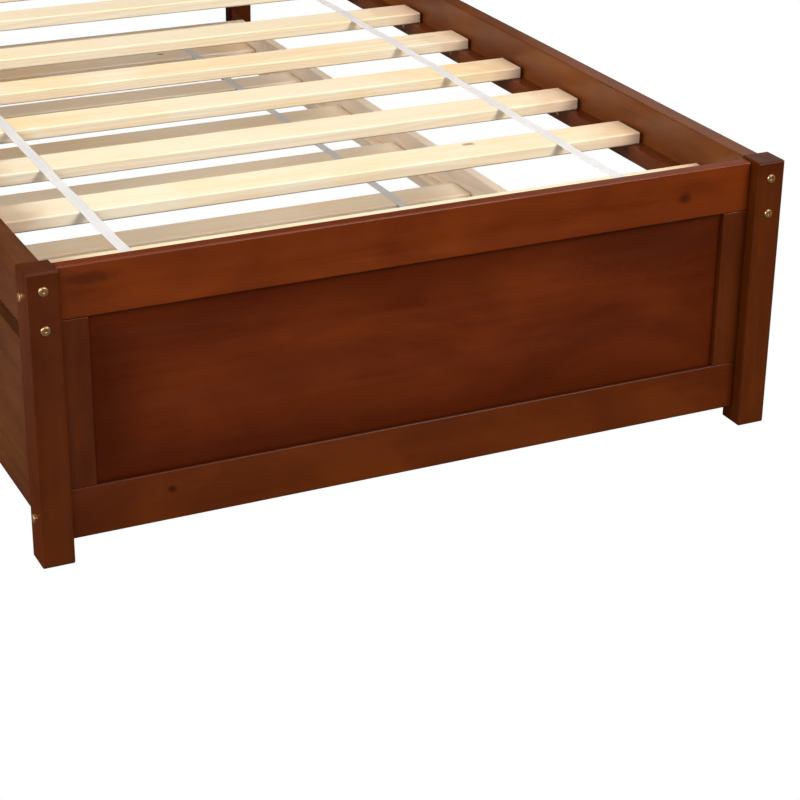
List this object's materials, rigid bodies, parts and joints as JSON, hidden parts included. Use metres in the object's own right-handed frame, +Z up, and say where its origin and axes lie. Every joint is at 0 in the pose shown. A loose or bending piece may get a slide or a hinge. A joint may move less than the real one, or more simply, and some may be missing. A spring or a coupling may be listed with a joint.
{
  "type": "platform bed with roll-out trundle",
  "caption": "Low slatted platform bed in stained wood with framed panel ends, and a second slatted bed on casters that rolls out from under its left side.",
  "frame": {"origin": "middle of the bed's footprint, on the floor", "axes": "+Z up, -Y towards the foot end, -X towards the side the trundle rolls out of"},
  "size_m": [1.0644, 1.9894, 0.39],
  "materials": {
    "stained_wood": "satin lacquer over reddish brown stain",
    "stained_panel": "satin lacquer over darker reddish brown stain",
    "pine": "raw, planed",
    "webbing": "woven, slightly translucent",
    "brass": "antique brass, satin",
    "zinc": "bright zinc",
    "wheel": "matte black nylon"
  },
  "bodies": {
    "bed_frame": {"post_foot_left": "stained_wood", "post_foot_right": "stained_wood", "post_head_left": "stained_wood", "post_head_right": "stained_wood", "foot_top_rail": "stained_wood", "foot_bottom_rail": "stained_wood", "foot_stile_left": "stained_wood", "foot_stile_right": "stained_wood", "head_top_rail": "stained_wood", "head_bottom_rail": "stained_wood", "head_stile_left": "stained_wood", "head_stile_right": "stained_wood", "side_rail_left": "stained_wood", "side_rail_right": "stained_wood", "ledger_left": "stained_wood", "ledger_right": "stained_wood", "foot_panel": "stained_panel", "head_panel": "stained_panel", "slat_1": "pine", "slat_2": "pine", "slat_3": "pine", "slat_4": "pine", "slat_5": "pine", "slat_6": "pine", "slat_7": "pine", "slat_8": "pine", "slat_9": "pine", "slat_10": "pine", "strap_left": "webbing", "strap_right": "webbing", "frame_bolts": "brass", "barrel_nuts": "brass", "ledger_screws": "zinc"},
    "trundle": {"trundle_front": "stained_wood", "trundle_back": "pine", "trundle_foot_board": "pine", "trundle_head_board": "pine", "trundle_front_ledger": "pine", "trundle_back_ledger": "pine", "caster_blocks": "pine", "trundle_slat_1": "pine", "trundle_slat_2": "pine", "trundle_slat_3": "pine", "trundle_slat_4": "pine", "trundle_slat_5": "pine", "trundle_slat_6": "pine", "trundle_slat_7": "pine", "trundle_slat_8": "pine", "trundle_strap_left": "webbing", "trundle_strap_right": "webbing", "trundle_screws": "zinc", "caster_axles": "zinc", "caster_fork_foot_left": "zinc", "caster_fork_foot_right": "zinc", "caster_fork_head_left": "zinc", "caster_fork_head_right": "zinc"},
    "wheel_foot_left": {"caster_wheel_foot_left": "wheel"},
    "wheel_foot_right": {"caster_wheel_foot_right": "wheel"},
    "wheel_head_left": {"caster_wheel_head_left": "wheel"},
    "wheel_head_right": {"caster_wheel_head_right": "wheel"}
  },
  "joints": [
    {"name": "trundle_slide", "type": "slide", "parent": "bed_frame", "child": "trundle", "axis": [-1, 0, 0], "range_m": [0, 1.05]},
    {"name": "wheel_spin_foot_left", "type": "hinge", "parent": "trundle", "child": "wheel_foot_left", "pos_m": [-0.461, -0.9, 0.017], "axis": [0, 1, 0], "continuous": true},
    {"name": "wheel_spin_foot_right", "type": "hinge", "parent": "trundle", "child": "wheel_foot_right", "pos_m": [0.449, -0.9, 0.017], "axis": [0, 1, 0], "continuous": true},
    {"name": "wheel_spin_head_left", "type": "hinge", "parent": "trundle", "child": "wheel_head_left", "pos_m": [-0.461, 0.9, 0.017], "axis": [0, 1, 0], "continuous": true},
    {"name": "wheel_spin_head_right", "type": "hinge", "parent": "trundle", "child": "wheel_head_right", "pos_m": [0.449, 0.9, 0.017], "axis": [0, 1, 0], "continuous": true}
  ]
}
